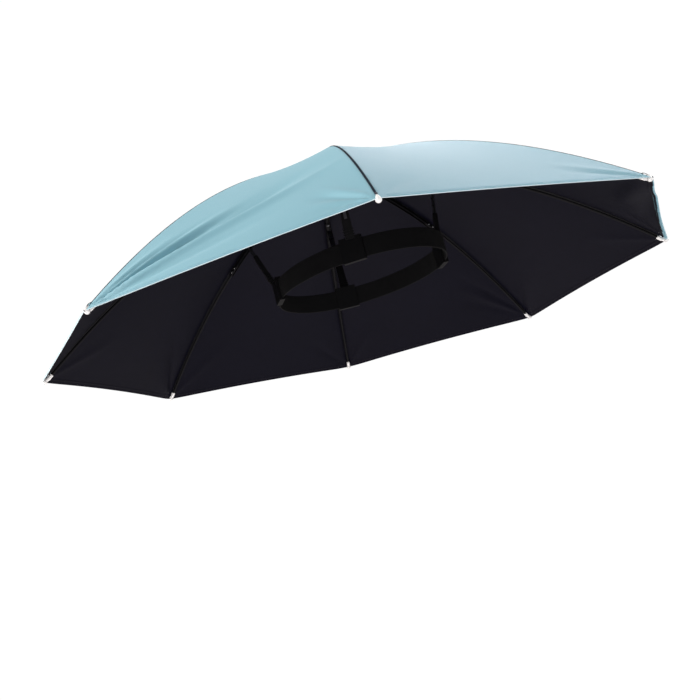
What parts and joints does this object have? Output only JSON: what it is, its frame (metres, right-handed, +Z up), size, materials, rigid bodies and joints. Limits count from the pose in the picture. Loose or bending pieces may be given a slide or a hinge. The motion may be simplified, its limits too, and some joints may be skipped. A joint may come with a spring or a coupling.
{
  "type": "umbrella hat",
  "caption": "Hands-free sun and rain canopy worn on the head: cloth gores on curved ribs, carried by stays on an elastic headband.",
  "frame": {"origin": "on the canopy's axis at the headband's mid-height, where the head holds the hat", "axes": "+Z up along the canopy's axis, -Y towards the front rib"},
  "size_m": [0.6484, 0.65, 0.1655],
  "materials": {
    "canopy_cloth": "light blue woven polyester outside, black sun coating inside",
    "rib_steel": "black lacquer, satin",
    "stay_steel": "dark zinc, with a bright glint",
    "tip_plastic": "white, moulded",
    "black_plastic": "black, moulded, fine grain",
    "band_webbing": "black ribbed elastic webbing"
  },
  "bodies": {
    "root": {"panel_1": "canopy_cloth", "panel_2": "canopy_cloth", "panel_3": "canopy_cloth", "panel_4": "canopy_cloth", "panel_5": "canopy_cloth", "panel_6": "canopy_cloth", "panel_7": "canopy_cloth", "panel_8": "canopy_cloth", "rib_inner_1": "rib_steel", "rib_inner_2": "rib_steel", "rib_inner_3": "rib_steel", "rib_inner_4": "rib_steel", "rib_inner_5": "rib_steel", "rib_inner_6": "rib_steel", "rib_inner_7": "rib_steel", "rib_inner_8": "rib_steel", "rib_outer_1": "rib_steel", "rib_outer_2": "rib_steel", "rib_outer_3": "rib_steel", "rib_outer_4": "rib_steel", "rib_outer_5": "rib_steel", "rib_outer_6": "rib_steel", "rib_outer_7": "rib_steel", "rib_outer_8": "rib_steel", "rib_tip_1": "tip_plastic", "rib_tip_2": "tip_plastic", "rib_tip_3": "tip_plastic", "rib_tip_4": "tip_plastic", "rib_tip_5": "tip_plastic", "rib_tip_6": "tip_plastic", "rib_tip_7": "tip_plastic", "rib_tip_8": "tip_plastic", "hub": "black_plastic", "crown_cap": "tip_plastic", "headband": "band_webbing", "stay_front": "stay_steel", "stay_left": "stay_steel", "stay_back": "stay_steel", "stay_right": "stay_steel", "band_clip_front": "black_plastic", "band_clip_left": "black_plastic", "band_clip_back": "black_plastic", "band_clip_right": "black_plastic"}
  },
  "joints": []
}
